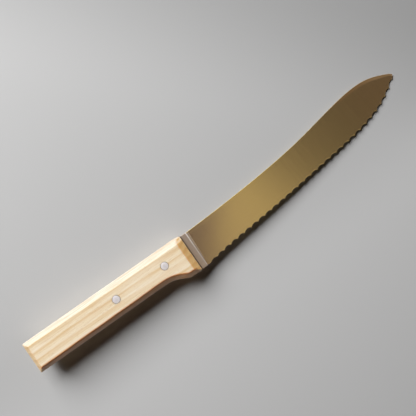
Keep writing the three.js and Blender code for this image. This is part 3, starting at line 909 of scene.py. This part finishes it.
# where the painted reflection on the swage bevel goes
sw = 2.8 * smoothstep(132, 176, q[:, 0]) * (1 - 0.40 * smoothstep(198, 211, q[:, 0]))
set_attribute(blade, "swage_reflection", np.clip((sw - s_in) / 0.35, 0, 1) * smoothstep(138, 172, q[:, 0]))
set_attribute(blade, "spine_band", np.clip(1 - s_in / 1.3, 0, 1) * (q[:, 0] > 5.2) * (1 - smoothstep(60, 150, q[:, 0])))

m_wood, m_steel, m_al = beech(), steel(), aluminium()
handle.data.materials.clear()
handle.data.materials.append(m_wood)
blade.data.materials.clear()
blade.data.materials.append(m_steel)
for ob, _ in rivets:
    ob.data.materials.clear()
    ob.data.materials.append(m_al)

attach(handle, "root"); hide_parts("handle")
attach(blade, "root"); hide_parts("blade")
for ob, node in rivets:
    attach(ob, "root"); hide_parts(node)

# ------------------------------------------------------------------ camera, stage and light

# Camera: nearly overhead, turned so that the handle lies lower left and the blade upper right
R_ = Vector((0.8192096, -0.5710695, 0.0))
EX = np.array([0.8192096, -0.56955978, 0.06706187])
EY = np.array([-0.5710695, -0.82089117, 0.00416078])
EZ = np.cross(EX, EY)
EZ = EZ if EZ[2] < 0 else -EZ
right = Vector((EX[0], EY[0], EZ[0])).normalized()
up = -Vector((EX[1], EY[1], EZ[1]))
up = (up - up.dot(right) * right).normalized()
back = right.cross(up)
cam_data = bpy.data.cameras.new("camera")
cam_data.lens = 36.0 * 440.0 / 416.0
cam_data.sensor_width = 36.0
cam_data.clip_start = 0.01
cam_data.clip_end = 20.0
cam = bpy.data.objects.new("camera", cam_data)
bpy.context.scene.collection.objects.link(cam)
rot = Matrix((right, up, back)).transposed().to_4x4()
cam.matrix_world = Matrix.Translation(Vector(to_row((7.649, 15.424, 336.5))[0])) @ rot
bpy.context.scene.camera = cam


# The knife rests on the lower front edge of its handle and on its tip, so the floor leans 2 degrees
# in the knife's frame.
x_a, z_a = -4.75, -HALF_T
x_b, z_b = 210.0, -0.56
slope = (z_b - z_a) / (x_b - x_a)
floor_z = lambda x: z_a + (x - x_a) * slope - 0.02
SZ = 2600.0
fv = [(x, y, floor_z(x)) for x, y in ((-SZ, -SZ), (SZ, -SZ), (SZ, SZ), (-SZ, SZ))]
floor = make_object("stage_floor", np.array(fv, float), [(0, 1, 2, 3)])
nf = Nodes("floor_pale")
p, x, y, z = nf.position()
geo = nf.add("ShaderNodeNewGeometry")
soft = nf.noise(nf.vec(nf.math("MULTIPLY", x, 0.004), nf.math("MULTIPLY", y, 0.004), 0.0), 1.0, 1.0, 0.4)
fcol = nf.mix(soft, lin(184, 184, 184), lin(189, 189, 189))
away = nf.math("SQRT", nf.math("ADD", nf.math("MULTIPLY", nf.math("SUBTRACT", x, 35.0), nf.math("SUBTRACT", x, 35.0)), nf.math("MULTIPLY", y, y)))


def ramp01(value, a, b):
    m = nf.add("ShaderNodeMapRange")
    m.interpolation_type = "SMOOTHSTEP"
    m.inputs["From Min"].default_value = a
    m.inputs["From Max"].default_value = b
    nf.link(value, m.inputs["Value"])
    return m.outputs[0]


# painted shade tones the floor down under the key, well outside the first view, so that it looks even from the side;
# painted light makes it a shade lighter on the belly side, and painted shade a shade darker past the tip
fcol = nf.mix(ramp01(nf.math("MULTIPLY", y, -1.0), -10.0, 70.0), fcol, lin(202, 202, 202))
fcol = nf.mix(nf.math("MULTIPLY", ramp01(nf.math("ADD", x, y), 150.0, 330.0), 0.75), fcol, lin(152, 152, 152))
fcol = nf.mix(nf.math("MULTIPLY", ramp01(y, 230.0, 700.0), 0.62), fcol, lin(60, 60, 60))
nf.link(fcol, nf.bsdf.inputs["Base Color"])
nf.bsdf.inputs["Roughness"].default_value = 0.9
nf.bsdf.inputs["Specular IOR Level"].default_value = 0.0
tr = nf.add("ShaderNodeBsdfTransparent")
mx = nf.add("ShaderNodeMixShader")
nf.link(geo.outputs["Backfacing"], mx.inputs[0])
nf.link(tr.outputs[0], mx.inputs[2])
# far off, the floor runs into the backdrop without an edge
BACKDROP = (0.50, 0.50, 0.505)
glow = nf.add("ShaderNodeEmission")
glow.inputs["Color"].default_value = (*BACKDROP, 1)
lpf = nf.add("ShaderNodeLightPath")
far = nf.add("ShaderNodeMixShader")
nf.link(nf.math("MULTIPLY", ramp01(away, 275.0, 600.0), lpf.outputs["Is Camera Ray"]), far.inputs[0])
nf.link(nf.bsdf.outputs[0], far.inputs[1])
nf.link(glow.outputs[0], far.inputs[2])
nf.link(far.outputs[0], mx.inputs[1])
nf.link(mx.outputs[0], nf.t.nodes["Material Output"].inputs["Surface"])
floor.data.materials.append(nf.mat)

def area(name, place_mm, target_mm, size, power, colour):
    d = bpy.data.lights.new(name, "AREA")
    d.shape = "RECTANGLE"
    d.size, d.size_y = size
    d.energy = power
    d.color = colour
    ob = bpy.data.objects.new(name, d)
    bpy.context.scene.collection.objects.link(ob)
    a, b = Vector(to_row(place_mm)[0]), Vector(to_row(target_mm)[0])
    ob.location = a
    ob.rotation_euler = (b - a).to_track_quat("-Z", "Y").to_euler()
    return ob


area("key", (-230, 930, 745), (20, 0, 0), (1.00, 0.80), 25.5, (1.0, 0.998, 0.995))
bounce = area("bounce", (-330, -560, 190), (-60, 0, 0), (0.8, 0.3), 0.25, (1.0, 0.39, 0.135))

# A panel under the floor, for the knife only: it reaches the under side and, at a slant, the upright
# sides, and none of the faces that look up.
knife_only = bpy.data.collections.new("knife_only")
for ob in list(bpy.context.scene.objects):
    if ob.type == "MESH" and ob.name.startswith(("knife_", "rivet_")):
        knife_only.objects.link(ob)
panel = area("panel_below", (110, 0, -620), (110, 0, 0), (1.70, 1.05), 2.8, (1.0, 0.985, 0.96))
panel.visible_camera = False
panel.data.cycles.max_bounces = 0
bounce.light_linking.receiver_collection = knife_only
panel.light_linking.receiver_collection = knife_only
panel.light_linking.blocker_collection = knife_only

# Soft surround. What the steel mirrors is a warm ceiling: dimmer straight above, brightest a little
# towards the tip and falling away beyond it.
world = bpy.data.worlds.new("surround")
bpy.context.scene.world = world
world.use_nodes = True
wt = world.node_tree
wn = wt.nodes
bg = wn["Background"]
tc = wn.new("ShaderNodeTexCoord")
sepw = wn.new("ShaderNodeSeparateXYZ")
wt.links.new(tc.outputs["Generated"], sepw.inputs[0])
rx = wn.new("ShaderNodeMapRange")
rx.inputs["From Min"].default_value = -0.6
rx.inputs["From Max"].default_value = 0.9
lean = wn.new("ShaderNodeMapRange")
lean.inputs["From Min"].default_value = 0.08
lean.inputs["From Max"].default_value = 0.25
lean.inputs["To Min"].default_value = -0.75
lean.inputs["To Max"].default_value = 0.40
wt.links.new(sepw.outputs[0], lean.inputs["Value"])
skew = wn.new("ShaderNodeMath")
skew.operation = "MULTIPLY_ADD"
wt.links.new(lean.outputs[0], skew.inputs[1])
wt.links.new(sepw.outputs[1], skew.inputs[0])
wt.links.new(sepw.outputs[0], skew.inputs[2])
wt.links.new(skew.outputs[0], rx.inputs["Value"])
rampw = wn.new("ShaderNodeValToRGB")
wt.links.new(rx.outputs[0], rampw.inputs[0])
el = rampw.color_ramp.elements


def at(sx):
    return (sx + 0.6) / 1.5


stops = [(-0.6, (0.50, 0.42, 0.34)), (-0.15, (0.30, 0.23, 0.18)), (-0.02, (0.15, 0.110, 0.084)), (0.045, (0.15, 0.109, 0.080)), (0.10, (0.54, 0.435, 0.235)),
         (0.145, (0.78, 0.645, 0.34)), (0.185, (0.60, 0.495, 0.268)), (0.235, (0.26, 0.213, 0.13)), (0.31, (0.200, 0.166, 0.106)), (0.45, (0.155, 0.115, 0.077)),
         (0.56, (0.19, 0.14, 0.095)), (0.70, (0.30, 0.25, 0.20)), (0.9, (0.50, 0.45, 0.40))]
while len(el) > 1:
    el.remove(el[-1])
for i, (sx, c) in enumerate(stops):
    e = el[0] if i == 0 else el.new(at(sx))
    e.position = at(sx)
    e.color = (*c, 1)
lp = wn.new("ShaderNodeLightPath")


def blend(fac, a, b):
    m = wn.new("ShaderNodeMix")
    m.data_type = "RGBA"
    wt.links.new(fac, m.inputs[0])
    for sock, v in ((m.inputs[6], a), (m.inputs[7], b)):
        if isinstance(v, tuple):
            sock.default_value = (*v, 1)
        else:
            wt.links.new(v, sock)
    return m.outputs[2]


lit = blend(lp.outputs["Is Glossy Ray"], (0.008, 0.0055, 0.0048), rampw.outputs[0])
shown = blend(lp.outputs["Is Camera Ray"], lit, BACKDROP)
wt.links.new(shown, bg.inputs[0])
bg.inputs[1].default_value = 1.0

bpy.context.scene.view_settings.view_transform = "Standard"
bpy.context.scene.view_settings.look = "None"
